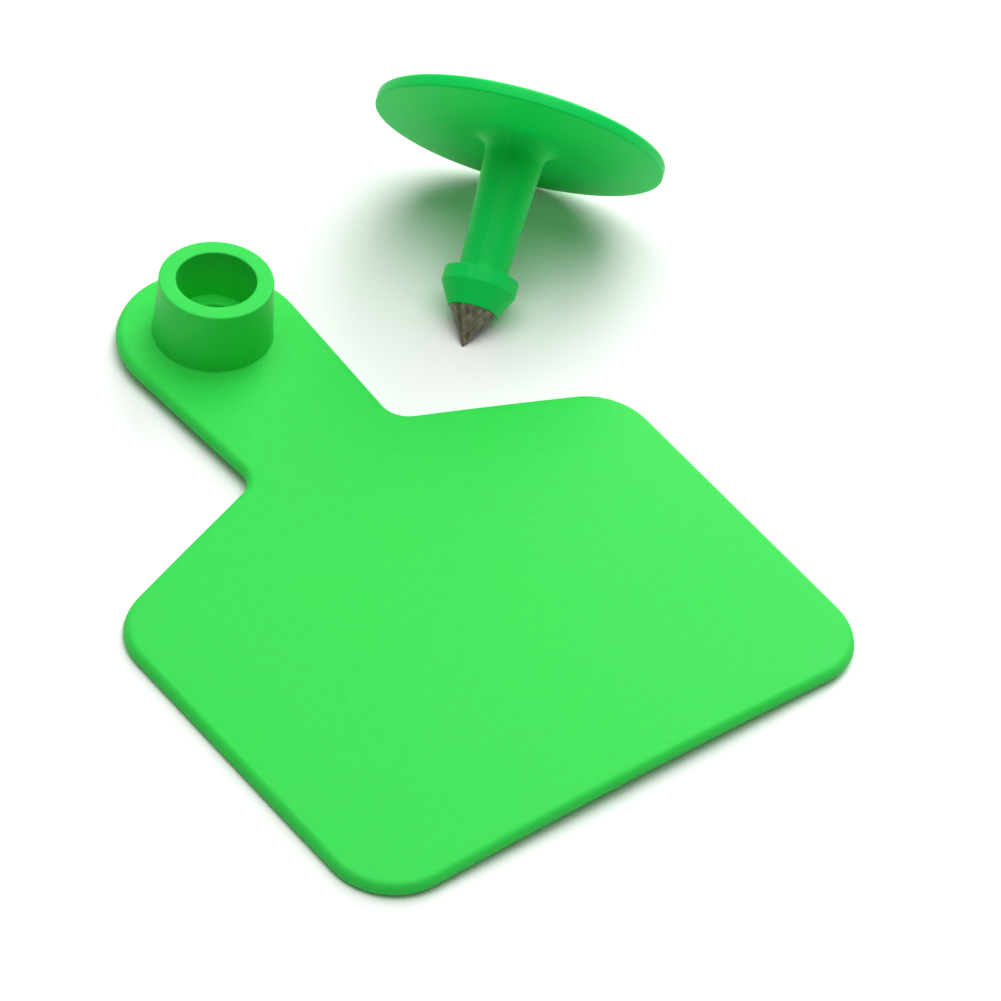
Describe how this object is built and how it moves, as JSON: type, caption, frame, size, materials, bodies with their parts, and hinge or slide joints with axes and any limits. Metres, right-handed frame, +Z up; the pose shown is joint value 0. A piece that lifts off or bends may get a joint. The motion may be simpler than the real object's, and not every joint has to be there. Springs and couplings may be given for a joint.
{
  "type": "livestock ear tag",
  "caption": "Flat ear tag panel with a necked socket collar, and its loose button stud with a barbed, metal-pointed stem that snaps into the socket through the ear.",
  "frame": {"origin": "on the table, under the middle of the box that holds the panel and the stud as they lie", "axes": "+Z up, out of the socket; +Y along the panel towards its neck; +X across the panel towards the stud"},
  "size_m": [0.0796, 0.0812, 0.0258],
  "materials": {
    "moulded_tpu": "satin moulded thermoplastic polyurethane, bright green, slightly soft",
    "steel_point": "turned and plated steel, dull"
  },
  "bodies": {
    "root": {"tag_panel": "moulded_tpu", "button_stud": "moulded_tpu", "piercing_tip": "steel_point"}
  },
  "joints": []
}
